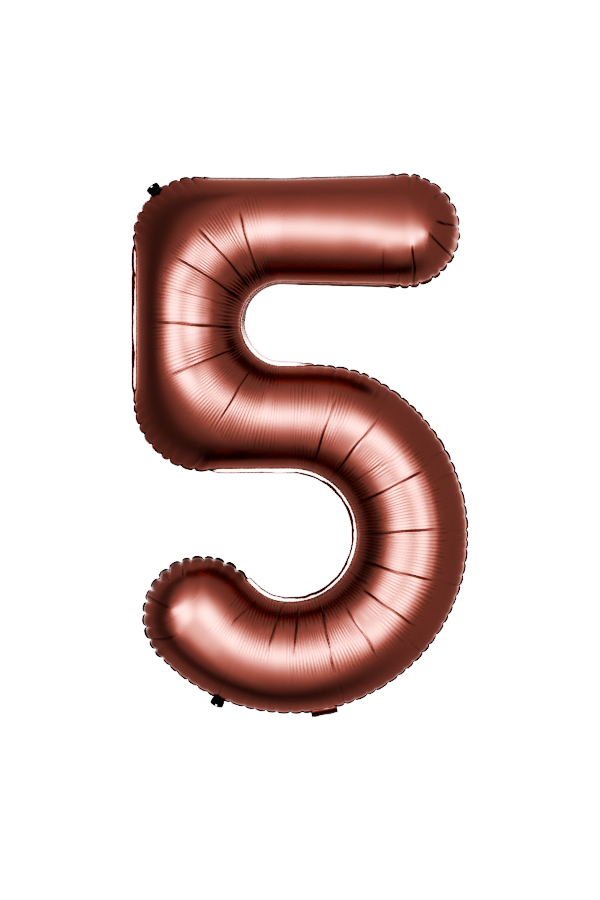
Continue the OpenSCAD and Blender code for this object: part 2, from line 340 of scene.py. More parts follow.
def spare_length(rest, counts, level):
    s = arc_from_left(rest[:, FLANGE:-FLANGE])
    width = s[:, -1:]
    t = s / np.maximum(width, 1e-6)
    fan_w, bowl_w, end_w, tip_w = spans(counts, len(rest))

    def shoulder(x):
        rise, fall_from, fall = SHOULDER
        return smooth(x / rise) * (1 - smooth((x - fall_from) / fall))

    x, z = rest[:, -FLANGE - 1, 0], rest[:, -FLANGE - 1, 2]
    straight = window(z, LOW_CORNER[1] - STEM_STRAIGHT, TOP_CORNER[1] + STEM_STRAIGHT, 40 * MM)
    straight = (x < STEM_LEFT + STEM_SEAM) * straight
    near_left, near_right = np.exp(-s / SEAM_REACH), np.exp(-(width - s) / SEAM_REACH)
    outer = (fan_w * (1 - STEM_SPARE_CUT * straight))[:, None] * near_right + bowl_w[:, None] * near_left
    inner = fan_w[:, None] * shoulder(t) + bowl_w[:, None] * shoulder(1 - t)
    ends = np.clip((end_w + tip_w)[:, None] * (near_left + near_right), 0, 1)
    spare = SPARE_INNER[level] * inner + SPARE_OUTER[level] * outer + SPARE_ENDS[level] * ends
    spare = np.pad(spare, ((0, 0), (FLANGE, FLANGE)), mode="edge")
    return (spare[1:] + spare[:-1]) / 2


def flat_lengths(rest, ratio):
    """Flat lengths of the edges along and across the film, and of the rising and falling diagonals."""
    u, v = np.diff(rest, axis=0), np.diff(rest, axis=1)
    mean_u = (u[:, 1:] + u[:, :-1]) / 2 * ((ratio[:, 1:] + ratio[:, :-1]) / 2)[..., None]
    mean_v = (v[1:] + v[:-1]) / 2
    along, *others = (np.linalg.norm(w, axis=2) for w in (u, v, mean_u + mean_v, mean_u - mean_v))
    return along * ratio, *others


def pull(a, b, length, taut, slack):
    """Moves both ends of every edge towards its length, less when the edge is too short."""
    d = b - a
    n = np.sqrt((d * d).sum(-1)) + 1e-12
    move = d * (np.where(n > length, taut, slack) * (n - length) / n * 0.5)[..., None]
    a += move
    b -= move


def relax(p, lengths):
    """One pass over all edges and diagonals, in sets that share no point."""
    along, across, rising, falling = lengths
    for k in (0, 1):
        pull(p[k:-1:2], p[k + 1 :: 2], along[k::2], TAUT, SLACK)
    for k in (0, 1):
        pull(p[:, k:-1:2], p[:, k + 1 :: 2], across[:, k::2], TAUT, SLACK)
    for k in (0, 1):
        for l in (0, 1):
            low, high = p[k:-1:2], p[k + 1 :: 2]
            pull(low[:, l:-1:2], high[:, l + 1 :: 2], rising[k::2, l::2], *DIAGONAL)
            pull(high[:, l:-1:2], low[:, l + 1 :: 2], falling[k::2, l::2], *DIAGONAL)


def stiffen(p, amount):
    """Resists bending along the first axis."""
    d = amount * (p[:-2] - 2 * p[1:-1] + p[2:])
    p[:-2] -= d
    p[1:-1] += 2 * d
    p[2:] -= d


def outward(p):
    """Normals of a front panel, turned to its front."""
    n = unit(np.cross(np.gradient(p, axis=0), np.gradient(p, axis=1)))
    return n if n[len(n) // 2, n.shape[1] // 2, 1] < 0 else -n


def relaxed_film(seed):
    """Front panel and flange columns after relaxation, and the smooth shape they started from."""
    rng = np.random.default_rng(seed)
    drift = None
    f = FLANGE
    for level, (counts, columns) in enumerate(LEVELS):
        rest = film_grid(counts, columns)
        size = rest.shape[:2]
        lengths = flat_lengths(rest, 1 + spare_length(rest, counts, level))
        start = np.zeros_like(rest)
        if drift is not None:
            for part in (slice(f + 1), slice(-f - 1, None), slice(f, -f)):
                start[:, part] = resample(drift[:, part], start[:, part].shape[:2])
        rough = resample(rng.standard_normal((size[0], LANES[level], 1)), size)
        rough = rough * smooth(-rest[..., 1:2] / (20 * MM))
        p = rest + start + rough * ROUGHNESS[level] * MM * outward(rest)
        speed = np.zeros_like(p)
        step = np.median(np.linalg.norm(np.diff(rest[:, f:-f], axis=0), axis=2))
        reach = max(1, int(SMOOTH_REACH / step))
        for turn in range(ROUNDS[level]):
            before = p.copy()
            push = unit(np.cross(p[2:, 1:-1] - p[:-2, 1:-1], p[1:-1, 2:] - p[1:-1, :-2]))
            speed *= DAMPING
            speed[1:-1, f + 1 : -f - 1] += push[:, f:-f] * PRESSURE[level]
            p += speed
            relax(p, lengths)
            stiffen(p, STIFF_ALONG)
            stiffen(p.transpose(1, 0, 2), STIFF_ACROSS)
            for end in (0, -1):
                p[end, f:-f] = p[end, f:-f].mean(0)
                joined = (p[end, :f] + p[end, -1 : -f - 1 : -1]) / 2
                p[end, :f] = joined
                p[end, -f:] = joined[::-1]
            p[:, (f, -f - 1), 1] *= 0.5
            p[:, f + 1 : -f - 1, 1] = np.minimum(p[:, f + 1 : -f - 1, 1], -LEAST_DEPTH)
            if turn % HOLD_EVERY == HOLD_EVERY - 1:
                drift = p - rest
                parts = (slice(f + 1), 1), (slice(f + 1, -f - 1), columns // 8), (slice(-f - 1, None), 1)
                hold = [low_pass(drift[:, part], reach, across) for part, across in parts]
                p -= HOLD_SHARE * np.concatenate(hold, axis=1)
            speed = p - before
        drift = p - rest
        near_end = window(np.arange(size[0]), 0, size[0] - 1, counts[0] * 0.8)
        drift *= near_end[:, None, None]
    return rest if drift is None else rest + drift, rest


# --- Details drawn into the film: scallops on the convex seams, long creases and fine wrinkles ---
# Long creases: direction of the outer and inner end, inner and outer radius in mm, share of full depth
COUNTER_CREASES = [
    (111, 119, 69, 186, 1.0),
    (132, 135, 70, 197, 1.0),
    (149, 153, 68, 197, 1.0),
    (163.5, 163.5, 78, 190, 0.4),
    (179.5, 186, 68, 206, 1.0),
    (205, 210, 75, 197, 0.9),
    (238, 235, 83, 185, 0.9),
]
BOWL_CREASES = [
    (72, 72, 108, 223, 1.0),
    (53, 54, 110, 232, 1.0),
    (37, 41, 125, 200, 0.4),
    (26.5, 25.5, 121, 234, 1.0),
    (3, 1, 116, 232, 0.9),
    (-17, -19, 117, 235, 1.0),
    (-36, -36.5, 136, 237, 1.0),
    (-54, -52, 135, 232, 0.8),
    (-72, -66, 113, 223, 1.0),
    (-88.5, -82.5, 109, 190, 0.9),
    (-101.5, -95, 106, 180, 0.8),
    (-124, -117, 116, 162, 0.7),
]
# Short creases at the ends of the stroke: from and to, in mm from the bowl's centre, share of full depth
END_CREASES = [
    ((272, 488), (226, 492), 1.0),
    ((264, 432), (216, 474), 1.0),
    ((196, 392), (191, 453), 1.0),
    ((170, 392), (171, 420), 0.5),
    ((147, 390), (146, 446), 0.5),
    ((238, 540), (226, 531), 0.5),
    ((200, 578), (200, 560), 0.7),
    ((166, 578), (167, 562), 0.7),
    ((-230, -92), (-188, -112), 0.9),
    ((-222, -164), (-180, -156), 0.9),
    ((-205, -52), (-188, -72), 0.6),
    ((-172, -42), (-167, -64), 0.6),
    ((-137, -38), (-135, -55), 0.5),
]
CREASE_DEPTH, CREASE_WIDTH = 1.5 * MM, 1.15 * MM
CREASE_FADE = (-0.06, 1.08, 0.22)  # start, end and softness of a crease, as shares of its length
CREASE_BOW = 0.02
CREASE_WANDER, CREASE_WANDER_LEN = 0.35 * MM, 9 * MM
CREASE_BEAT, CREASE_BEAT_LEN = 0.14, 13 * MM  # how much deeper and shallower it gets along its length
LIP_HEIGHT = 0.3 * MM  # of the raised lip on one side of a crease
LIP_OFF, LIP_WIDTH = 2.6 * MM, 1.4 * MM
END_BUMP, END_BUMP_R = 1.4 * MM, 8 * MM
UNEVEN_HEIGHT, UNEVEN_CELL = 0.22 * MM, 34 * MM
UNEVEN_EDGE = 0.12  # share of the panel's width where the unevenness fades out at a seam
WRINKLE_SPACING, WRINKLE_FADE = 4.9 * MM, 12 * MM
WRINKLE_MEAN = 0.6  # of a row of rounded ridges
RAGGED_BY, RAGGED_CELL = 4.5 * MM, 3.2 * MM  # how unevenly the wrinkles end
CREST_WOBBLE, CREST_WOBBLE_CELL, CREST_PATCH_CELL = 0.9, 22 * MM, 26 * MM
LIP_WOBBLE_CELL, LIP_PATCH_CELL = 15 * MM, 20 * MM
WRINKLE_HEIGHT = 0.42 * MM
LIP_WRINKLE_HEIGHT = 0.7 * MM
# How far from the bend's inner seam the wrinkles on the crest and at the inner seam start and end
CREST_WRINKLES = (50 * MM, 146 * MM)
LIP_WRINKLES = (-2 * MM, 48 * MM)
TIP_SHORTER = 48 * MM  # how much sooner the former end towards the bowl's tip
TIP_SHORTER_FROM = (35, 125)  # degrees below the horizontal where that starts, and where it is full
FAN_WRINKLES_FROM = (97, 110)  # degrees round the counter where the fan's wrinkles start and are full
SCALLOP_SPACING = (15 * MM, 23 * MM)
SCALLOP_HEIGHT = (3.2 * MM, 4.6 * MM)
SCALLOP_GAP = 18 * MM  # a scallop narrower than this is lower
SCALLOP_GROW = 2.2 * MM  # how far a convex seam grows outward between its notches
GROW_REACH = 15 * MM
PUFF_REACH = 9 * MM
NOTCH_WIDTH = 1.8 * MM
# How much shallower and shorter the notches are on the fan and at the arm's end
SHALLOW_FAN, SHALLOW_END = 0.72, 0.4
SHORT_FAN, SHORT_END = 0.35, 0.35
NOTCH_REACH = 14 * MM
# reach of the painted shade inward from a notch, scaled by the notch's reach
NOTCH_SHADE_REACH = 13 * MM
TIP_RIM = 22 * MM  # width of the rim of painted shade round the bowl's tip
# how dark the painted shade round the tip gets
TIP_RIM_SHADE = 0.78


def long_creases(rng, spread):
    """End points of the long creases; spread turns them a little, for the back panel."""
    for centre, rows in ((COUNTER, COUNTER_CREASES), (np.zeros(2), BOWL_CREASES)):
        for outer_deg, inner_deg, r_in, r_out, share in rows:
            turn = rng.uniform(-spread, spread)
            longer = rng.uniform(-spread, spread)
            start = centre + ray(inner_deg + turn) * r_in * MM
            yield start, centre + ray(outer_deg + turn) * (r_out + 2 * longer) * MM, share
    for start, end, share in END_CREASES:
        yield np.array(start) * MM, np.array(end) * MM, share


def crease_depth(rng, x, z, spread):
    """Depth of the creases, 0 to 1, and height of their lips and of the bumps at their ends."""
    depth, raised = np.zeros(x.shape), np.zeros(x.shape)
    for start, end, share in long_creases(rng, spread):
        d = end - start
        length = np.linalg.norm(d)
        k = ((x - start[0]) * d[0] + (z - start[1]) * d[1]) / length**2
        off = ((x - start[0]) * -d[1] + (z - start[1]) * d[0]) / length
        bow, phase = rng.uniform(-1, 1) * CREASE_BOW * length, rng.uniform(0, 6.28)
        off = off - bow * np.sin(np.pi * k)
        off = off - CREASE_WANDER * np.sin(k * length / CREASE_WANDER_LEN + phase)
        beat = 1 - CREASE_BEAT + CREASE_BEAT * np.cos(k * length / CREASE_BEAT_LEN + phase)
        fade = window(k, *CREASE_FADE) * beat
        depth = np.maximum(depth, share * fade * np.exp(-np.abs(off) / CREASE_WIDTH))
        lip_at = rng.choice((-1, 1)) * LIP_OFF
        raised += LIP_HEIGHT * share * fade * np.exp(-(((off - lip_at) / LIP_WIDTH) ** 2))
    for _, (px, pz), share in END_CREASES:
        away = (x - px * MM) ** 2 + (z - pz * MM) ** 2
        raised += END_BUMP * share * np.exp(-away / (2 * END_BUMP_R**2))
    return depth, raised


class Scallops:
    """Bulges between notches along the closed seam, on its convex stretches."""

    def __init__(self, rng, left, right):
        run_l, run_r = run_along(left), run_along(right)
        whole = run_l[-1] + run_r[-1]
        self.s = (run_l, whole - run_r)
        notches = [0.0]
        while notches[-1] < whole - SCALLOP_SPACING[1]:
            notches.append(notches[-1] + rng.uniform(*SCALLOP_SPACING))
        self.notches = np.array(notches + [whole])
        n = len(self.notches)
        self.height = rng.uniform(*SCALLOP_HEIGHT, n)
        self.reach = rng.uniform(0.5, 1.3, n) * np.where(rng.random(n) < 0.2, 2.2, 1.0)
        self.reach[-1] = self.reach[0]
        turns = [self.bend(left, run_l, 1), self.bend(right, run_r, -1)]
        self.convex = [smooth((turn + 0.6) / 3.6) for turn in turns]
        self.full = [mix(0.45, 1.0, smooth((turn - 3.5) / 4.5)) for turn in turns]

    @staticmethod
    def bend(rail, run, side):
        """Turning per metre along a rail, positive where it is convex."""
        even = np.linspace(0, run[-1], 1200)
        p = np.stack([np.interp(even, run, rail[:, k]) for k in (0, 1)], 1)
        d = unit(np.gradient(p, axis=0))
        turn = d[:, 0] * np.gradient(d[:, 1]) - d[:, 1] * np.gradient(d[:, 0])
        turn = -side * turn / (even[1] - even[0])
        turn = low_pass(turn[:, None], 8, 0)[:, 0]
        return np.interp(run, even, turn)

    def at(self, side):
        """Bulge 0 to 1, distance to a notch, height and that notch's reach at each station of a rail."""
        s = np.clip(self.s[side], 0, self.notches[-1] - 1e-9)
        k = np.searchsorted(self.notches, s, side="right") - 1
        gap = self.notches[k + 1] - self.notches[k]
        t = (s - self.notches[k]) / gap
        bulge = np.maximum(0, 4 * t * (1 - t)) ** 0.5
        nearest = np.where(t < 0.5, k, k + 1)
        off = np.abs(s - self.notches[nearest])
        height = self.full[side] * self.height[k] * np.minimum(gap / SCALLOP_GAP, 1)
        return bulge, off, height, self.reach[nearest]


def folds(run, wobble):
    """Row of rounded ridges along a run, 0 to 1."""
    return np.abs(np.sin(np.pi * run[:, None] / WRINKLE_SPACING + wobble))


def fine_wrinkles(rng, rest, crest_run, fan_w, bowl_w):
    """Height of the fine wrinkles across the crest, and of the short ones at the inner seam."""
    shape = rest.shape[:2]
    fine = np.zeros(shape)
    for weight, centre, inner_r, column, shorten in (
        (fan_w, COUNTER, COUNTER_R, shape[1] // 4, 0),
        (bowl_w, np.zeros(2), BOWL_INNER_R, shape[1] * 3 // 4, TIP_SHORTER),
    ):
        weight = weight[:, None]
        inner_run = run_along(rest[:, column])
        x, z = rest[..., 0] - centre[0], rest[..., 2] - centre[1]
        below = (-np.degrees(np.arctan2(z, x)) - TIP_SHORTER_FROM[0]) / np.ptp(TIP_SHORTER_FROM)
        crest_end = CREST_WRINKLES[1] - shorten * smooth(below)
        ragged = np.hypot(x, z) - inner_r + RAGGED_BY * noise_grid(rng, crest_run, RAGGED_CELL, 2, shape)
        patch = smooth(0.7 + 0.8 * noise_grid(rng, crest_run, CREST_PATCH_CELL, 4, shape))
        wobble = CREST_WOBBLE * noise_grid(rng, crest_run, CREST_WOBBLE_CELL, 4, shape)
        wave = folds(crest_run, wobble) - WRINKLE_MEAN
        crest = window(ragged, CREST_WRINKLES[0], crest_end, WRINKLE_FADE)
        fine += weight * WRINKLE_HEIGHT * wave * patch * crest
        wave = folds(inner_run, noise_grid(rng, inner_run, LIP_WOBBLE_CELL, 3, shape)) - WRINKLE_MEAN
        patch = smooth(0.85 + 0.6 * noise_grid(rng, inner_run, LIP_PATCH_CELL, 3, shape))
        fine += weight * LIP_WRINKLE_HEIGHT * wave * patch * window(ragged, *LIP_WRINKLES, WRINKLE_FADE)
    x, z = rest[..., 0] - COUNTER[0], rest[..., 2] - COUNTER[1]
    turned = (np.degrees(np.arctan2(z, x)) % 360 - FAN_WRINKLES_FROM[0]) / np.ptp(FAN_WRINKLES_FROM)
    return fine * (1 - (z > 0) * (1 - smooth(turned)))


def flange_way(side):
    """Direction outward over the flange at each station, on the left 0 or right 1 side."""
    seam, flange = ((FLANGE, FLANGE - 1), (-FLANGE - 1, -FLANGE))[side]
    return unit(smooth_film[:, flange] - smooth_film[:, seam])


def add_scallops(p, fold, out, distances, shallow, short):
    """Grows the convex seams between notches, and sinks the notches. Returns the painted shade, darkened at
    the notches.
    """
    total = np.zeros_like(p)
    weights = np.zeros(fold.shape)
    for side, distance in enumerate(distances):
        bulge, off, height, reach = scallops.at(side)
        convex = scallops.convex[side][:, None]
        bulge, height, reach = bulge[:, None], height[:, None] * convex, reach[:, None] * short
        weights += np.exp(-distance / PUFF_REACH)
        notch = np.exp(-off / NOTCH_WIDTH)[:, None]
        depth = shallow * height * notch * np.exp(-distance / (NOTCH_REACH * reach))
        puff = 0.45 * shallow * height * (bulge - 0.5)
        puff = puff * (distance / PUFF_REACH) * np.exp(1 - distance / PUFF_REACH)
        grow = height * (bulge - 0.35) + SCALLOP_GROW * convex
        total += (grow * np.exp(-distance / GROW_REACH))[..., None] * flange_way(side)[:, None]
        total += out * (puff - depth)[..., None]
        # painted shade at the notches of convex seams
        shade = 1.5 * convex * notch * np.exp(-distance / (NOTCH_SHADE_REACH * reach))
        fold = np.maximum(fold, smooth(shade))
    p += total / np.maximum(1, weights)[..., None]
    return fold


def detailed(seed, spread):
    """The relaxed panel's points with the drawn details, and the painted shade at each one."""
    rng = np.random.default_rng(seed)
    p, rest = film[:, FLANGE:-FLANGE].copy(), smooth_film[:, FLANGE:-FLANGE]
    s = arc_from_left(rest)
    width = s[:, -1:]
    t = s / np.maximum(width, 1e-6)
    shape = s.shape
    out = outward(rest)
    crest_run = run_along(rest[:, shape[1] // 2])
    fan_w, bowl_w, end_w, tip_w = spans(LEVELS[-1][0], shape[0])

    uneven = UNEVEN_HEIGHT * noise_grid(rng, crest_run, UNEVEN_CELL, 5, shape)
    p += out * (uneven * smooth(t / UNEVEN_EDGE) * smooth((1 - t) / UNEVEN_EDGE))[..., None]
    fine = fine_wrinkles(rng, rest, crest_run, fan_w, bowl_w)
    p += out * fine[..., None]
    # painted shade in the valleys of the fine wrinkles
    fold = 0.25 * smooth(-fine / (0.08 * MM))

    crease, raised = crease_depth(rng, rest[..., 0], rest[..., 2], spread)
    p += out * (raised - CREASE_DEPTH * crease)[..., None]
    # painted shade along the creases
    fold = np.maximum(fold, smooth(crease * 1.25))

    shallow = (1 - SHALLOW_FAN * fan_w)[:, None] * (1 - SHALLOW_END * end_w)[:, None]
    short = (1 - SHORT_FAN * fan_w)[:, None] * (1 - SHORT_END * end_w)[:, None]
    fold = add_scallops(p, fold, out, (s, width - s), shallow, short)
    p[:, (0, -1), 1] = -LEAST_DEPTH
    # painted shade round the bowl's tip, strongest at the seam
    rim = np.exp(-np.minimum(s, width - s) / TIP_RIM)
    fold = np.maximum(fold, TIP_RIM_SHADE * smooth(1.6 * rim) * smooth(tip_w * 1.5)[:, None])
    for end in (0, -1):
        p[end] = p[end].mean(0)
    return p, fold


# --- Meshes ---
def in_scene(name, data, location=(0, 0, 0)):
    """New object with the given data and location, linked into the scene."""
    thing = bpy.data.objects.new(name, data)
    thing.location = location
    bpy.context.scene.collection.objects.link(thing)
    return thing


def new_piece(name, points, faces, material, attributes=()):
    """Smooth mesh object with one material and the given values at its points."""
    mesh = bpy.data.meshes.new(name)
    points = points.reshape(-1, 3)
    mesh.vertices.add(len(points))
    mesh.vertices.foreach_set("co", points.ravel())
    loops = faces.size
    mesh.loops.add(loops)
    mesh.loops.foreach_set("vertex_index", faces.ravel())
    mesh.polygons.add(len(faces))
    mesh.polygons.foreach_set("loop_start", np.arange(0, loops, faces.shape[1]))
    mesh.polygons.foreach_set("use_smooth", np.ones(len(faces), bool))
    mesh.update(calc_edges=True)
    mesh.validate()
    for attribute, values in attributes:
        layer = mesh.attributes.new(attribute, "FLOAT", "POINT")
        layer.data.foreach_set("value", np.ravel(values).astype(np.float32))
    mesh.materials.append(material)
    return in_scene(name, mesh)


def grid_faces(rows, columns, close_rows=False, close_columns=False):
    """Quads between the points of a grid, closed to a ring where asked."""
    i = np.arange(rows if close_rows else rows - 1)[:, None]
    j = np.arange(columns if close_columns else columns - 1)[None]
    a = i * columns + j
    b = (i + 1) % rows * columns + j
    c = (i + 1) % rows * columns + (j + 1) % columns
    d = i * columns + (j + 1) % columns
    return np.stack(np.broadcast_arrays(a, b, c, d), -1).reshape(-1, 4)


def shell(name, front, back, finish, shades=(), closed=True):
    """Piece from its front and back points, joined at the sides. Each shade has values for both."""
    both = [("", front, back), *shades]
    (_, ring), *shades = [(key, np.concatenate([a, b[:, ::-1]], 1)) for key, a, b in both]
    return new_piece(name, ring + OFFSET, grid_faces(*ring.shape[:2], closed, True), finish, shades)


# --- Materials ---
def material(name, colour, **inputs):
    """New material with settings on its shader's own sockets."""
    m = bpy.data.materials.new(name)
    m.use_nodes = True
    shader = m.node_tree.nodes["Principled BSDF"]
    shader.inputs["Base Color"].default_value = (*colour, 1)
    for socket, value in inputs.items():
        shader.inputs[socket.replace("_", " ")].default_value = value
    return m, m.node_tree, shader


def node(tree, kind, links=(), **settings):
    """New node with settings by property or socket name, and links into its sockets."""
    n = tree.nodes.new(kind)
    for key, value in settings.items():
        if hasattr(n, key):
            setattr(n, key, value)
        else:
            n.inputs[key.replace("_", " ")].default_value = value
    for socket, source in links:
        tree.links.new(source, n.inputs[socket])
    return n


def blended(tree, share, base, other):
    """Colour socket between base, a colour or a socket, and another colour."""
    n = node(tree, "ShaderNodeMix", [(0, share)], data_type="RGBA")
    if isinstance(base, tuple):
        n.inputs[6].default_value = (*base, 1)
    else:
        tree.links.new(base, n.inputs[6])
    n.inputs[7].default_value = (*other, 1)
    return n.outputs[2]


def grained(tree, shader, gloss, low, high, grain, strength, distance):
    """Roughness from low to high by the noise gloss, and a bump by the noise grain."""
    rough = node(tree, "ShaderNodeMapRange", [("Value", gloss.outputs["Fac"])], To_Min=low, To_Max=high)
    tree.links.new(rough.outputs["Result"], shader.inputs["Roughness"])
    height = [("Height", grain.outputs["Fac"])]
    bump = node(tree, "ShaderNodeBump", height, Strength=strength, Distance=distance)
    tree.links.new(bump.outputs["Normal"], shader.inputs["Normal"])


FOIL = (0.62, 0.21, 0.172)
FOIL_PAINTED_SHADE = (0.02, 0.002, 0.002)  # painted shade: the colour of creases, wrinkle valleys, notches, the tip's rim, the flange's edge line and the neck's edges
FOIL_PAINTED_REFLECTION = (0.92, 0.82, 0.78)  # painted reflection of the bright backdrop on the flange's face
FOIL_EDGE = (0.93, 0.78, 0.75, 1)


def foil_material(name, roughness, tint=1.0, painted_reflection=False):
    """Metallised film: broad tone, grain, and painted shade at folds and rims; the flag adds the weld's
    painted reflection of the bright backdrop.
    """
    colour = [c * tint for c in FOIL]
    m, tree, shader = material(name, colour, Metallic=1.0, Specular_Tint=FOIL_EDGE)
    place = node(tree, "ShaderNodeTexCoord").outputs["Object"]
    broad = node(tree, "ShaderNodeTexNoise", [("Vector", place)], Scale=9.0, Detail=3.0)
    fine = node(tree, "ShaderNodeTexNoise", [("Vector", place)], Scale=420.0, Detail=3.0)
    darker, lighter = (tuple(min(1, c * k) for c in colour) for k in (0.93, 1.06))
    base = blended(tree, broad.outputs["Fac"], darker, lighter)
    # blends the painted reflection on the weld and the painted shade into the base colour
    for attribute, other in [("painted_reflection", FOIL_PAINTED_REFLECTION)] * painted_reflection + [("fold", FOIL_PAINTED_SHADE)]:
        share = node(tree, "ShaderNodeAttribute", attribute_name=attribute).outputs["Fac"]
        base = blended(tree, share, base, other)
    tree.links.new(base, shader.inputs["Base Color"])
    grained(tree, shader, broad, roughness - 0.03, roughness + 0.04, fine, 0.10, 0.0004)
    return m


def plain_material(name, colour, roughness, grain, **inputs):
    """Plain film or print with a fine grain in its gloss and surface."""
    m, tree, shader = material(name, colour, **inputs)
    place = node(tree, "ShaderNodeTexCoord").outputs["Object"]
    noise = node(tree, "ShaderNodeTexNoise", [("Vector", place)], Scale=grain, Detail=4.0)
    grained(tree, shader, noise, roughness - 0.08, roughness + 0.08, noise, 0.2, 0.0003)
    return m


foil = foil_material("foil_film", 0.27)
seam_foil = foil_material("foil_seam", 0.30, 1.1, painted_reflection=True)
# near-black with a weak gloss: painted shade standing in for the tab's shaded side
tab_film = plain_material("tab_film", (0.002, 0.002, 0.002), 0.5, 300, Specular_IOR_Level=0.08)
milky_film = plain_material("valve_film", (0.80, 0.83, 0.86), 0.4, 200, Transmission_Weight=0.3)
release_coat = plain_material("release_coat", (0.10, 0.17, 0.35), 0.6, 500)

# --- Panels ---
FILM_SEED, SCALLOP_SEED = 3, 11
film, smooth_film = relaxed_film(FILM_SEED)
rail_left, rail_right = smooth_film[:, FLANGE, ::2], smooth_film[:, -FLANGE - 1, ::2]
scallops = Scallops(np.random.default_rng(SCALLOP_SEED), rail_left, rail_right)
panels = {}
for name, node_name, seed, spread, side in (
    ("front_panel", "front_foil", 21, 0.0, 1),
    ("back_panel", "back_foil", 22, 4.0, -1),
):
    # each panel carries its painted shade as a point attribute
    points, fold = detailed(seed, spread)
    panels[name] = points
    faces = grid_faces(*points.shape[:2])[:, ::side]
    piece = new_piece(name, points * (1, side, 1) + OFFSET, faces, foil, [("fold", fold)])
    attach(piece, "balloon")
    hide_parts(node_name)

# --- Seam flange, one closed ring ---
FLANGE_STEPS = 9
FLANGE_T = 0.5 * MM
CONVEX_SEAM_W = 1.5 * MM  # what shows of the flange where the film stands over it
FLANGE_WAVE = 11 * MM
FLANGE_WAVE_WIDTH = 0.3 * MM
FLANGE_WAVE_DEPTH = (0.2, 0.9)  # in mm, on concave and on convex seams
FLANGE_TILT = 62  # how far the flange turns back along the arm and the counter, in degrees
EDGE_LINE = (2.5 * MM, 5.0 * MM)  # width of the line of painted shade at the flange's edge, light and heavy
EDGE_LINE_CELL = 30 * MM


def flange_loop():
    """Seam points, outward directions, convexity and loop position round the closed seam."""
    seams = [panels["front_panel"][:, column, ::2] for column in (0, -1)]
    ways = [flange_way(side)[:, ::2] for side in (0, 1)]
    return [np.concatenate([a, b[-2:0:-1]]) for a, b in (seams, ways, scallops.convex, scallops.s)]


def seam_flange():
    """The welded flange round both panels, with a painted reflection of the bright backdrop on its face and
    a line of painted shade at its edge.
    """
    rng = np.random.default_rng(31)
    seam, out, convex, s = flange_loop()
    w = np.linspace(0, 1, FLANGE_STEPS)[None, :, None]
    wavy = noise_at(rng, s, FLANGE_WAVE)
    wavy[:4] = wavy[-4:] = 0
    wide = mix(SEAM_W, CONVEX_SEAM_W, convex) + FLANGE_WAVE_WIDTH * wavy
    on_stem = seam[:, 0] < STEM_LEFT + STEM_SEAM
    on_arm = smooth((seam[:, 1] - WAIST_TOP_R) / (2 * COUNTER_R)) * ~on_stem
    tilt = np.radians(FLANGE_TILT) * on_arm * (1 - convex)
    plan = seam[:, None] + out[:, None] * (w * (wide * np.cos(tilt))[:, None, None])
    y = (mix(*FLANGE_WAVE_DEPTH, convex) * MM * wavy)[:, None] * w[..., 0] ** 2
    y = y + w[..., 0] * (wide * np.sin(tilt))[:, None]
    front, back = at_depth(plan, y - FLANGE_T / 2), at_depth(plan, y + FLANGE_T / 2)
    in_bowl = np.hypot(*seam.T) < BOWL_INNER_R + 2 * SEAM_W
    heavy = smooth((seam[:, 0] + 20 * MM) / (60 * MM)) * in_bowl + on_stem
    line = mix(*EDGE_LINE, heavy) * (1 + 0.2 * noise_at(rng, s, EDGE_LINE_CELL))
    rim = smooth((w[..., 0] * wide[:, None] - wide[:, None] + line[:, None]) / (0.5 * MM))
    counter_side = 1 - smooth((np.hypot(*(seam - COUNTER).T) - COUNTER_R - SEAM_W) / (6 * MM))
    # painted shade: the dark line at the flange's edge, lighter near the counter, and the whole flange dark
    # on convex seams under the standing film
    fold = np.maximum(rim * (1 - 0.8 * counter_side[:, None]), 0.95 * convex[:, None])
    # painted reflection of the bright backdrop: pale on concave seams, less where the flange tilts back,
    # none on the edge line
    painted_reflection = (1 - convex)[:, None] * (1 - rim) * (1 - 0.7 * np.sin(tilt))[:, None]
    shades = [("fold", fold, 0.3 * fold), ("painted_reflection", painted_reflection, 0 * painted_reflection)]
    piece = shell("seam_flange", front, back, seam_foil, shades)
    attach(piece, "balloon")
    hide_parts("seam_weld")


seam_flange()

# --- Hang tabs: one strip each, from the seam over the fold to the ear with its hole ---
TAB_POINTS = 96
TAB_WELD_INSET = 0.5 * MM
TAB_CORNER_R = 9 * MM
TAB_ON_FLANGE = 1.05 * MM  # how far the base lies in front of the seam
TAB_CURL = 0.5 * MM
TAB_HALF_T = 0.3 * MM
TAB_BEAD = 0.14 * MM  # extra half thickness of the ring round the hole
TAB_BEAD_R = (2.6 * MM, 4.4 * MM)
TAB_FOLD = (-0.6 * MM, FOLD_GAP + 1.8 * MM)
TAB_TURN_FROM = 5.5 * MM
TAB_END_TURN = (0.5, 0.78)  # how far the end past that goes outward and back, as shares of its length


def tab_outline(low, high, hole, d):
    """Rounded rectangle round the hole's centre, hit by rays in the directions d."""
    lo, hi = np.array([-TAB_W / 2, low]) - hole, np.array([TAB_W / 2, high]) - hole
    edge = d * (np.where(d > 0, hi, lo) / d).min(1, keepdims=True)
    inner = np.clip(edge, lo + TAB_CORNER_R, hi - TAB_CORNER_R)
    away = edge - inner
    both = (np.abs(away) > 1e-9).all(1)
    edge[both] = (inner + unit(away) * TAB_CORNER_R)[both]
    return edge


